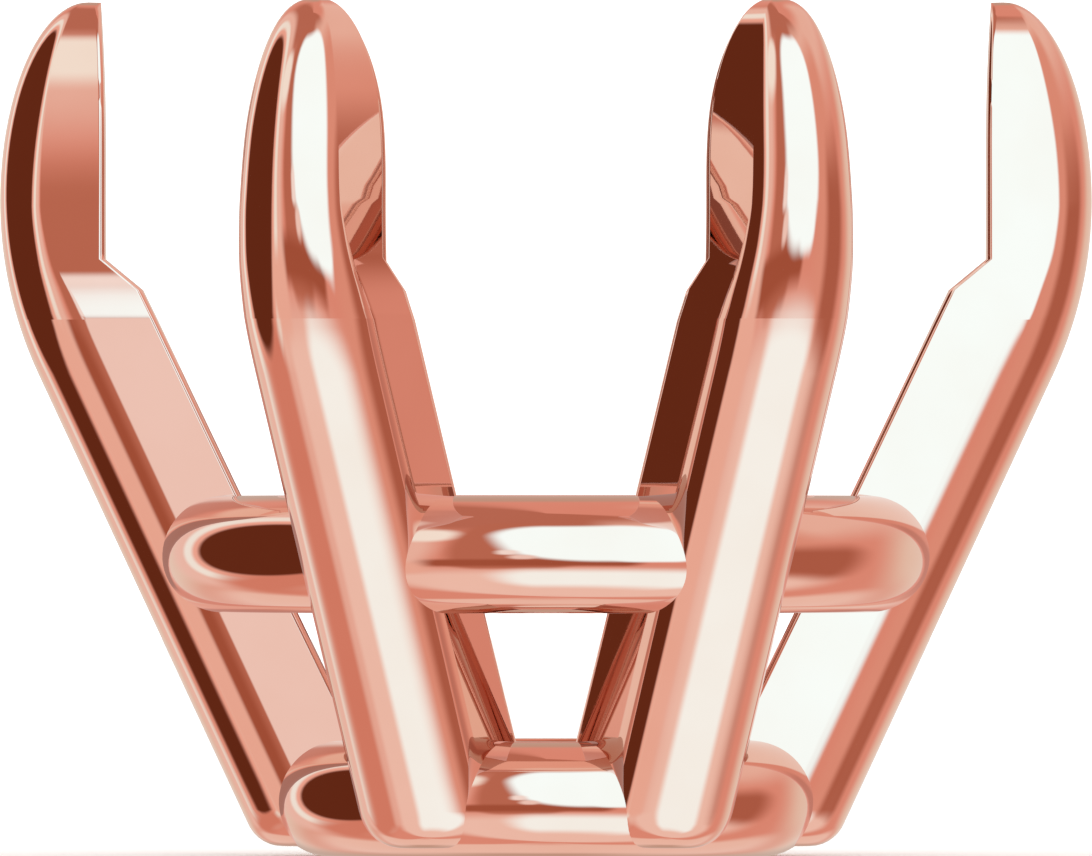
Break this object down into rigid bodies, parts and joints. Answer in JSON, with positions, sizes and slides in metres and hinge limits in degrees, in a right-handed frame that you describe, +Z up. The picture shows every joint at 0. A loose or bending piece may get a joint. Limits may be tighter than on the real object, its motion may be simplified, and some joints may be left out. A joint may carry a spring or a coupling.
{
  "type": "prong basket setting",
  "caption": "Round basket setting: leaning claw prongs with domed tips, joined by an upper and a lower gallery rail, open for a round stone.",
  "frame": {"origin": "centre of the lower rail's flat underside, which is the base that the setting stands on", "axes": "+Z up along the axis of the rails and of the stone; +X through the middle of one prong"},
  "size_m": [0.008, 0.007, 0.0062],
  "materials": {
    "rose_gold": "mirror polished rose gold"
  },
  "bodies": {
    "root": {"basket_setting": "rose_gold"}
  },
  "joints": []
}
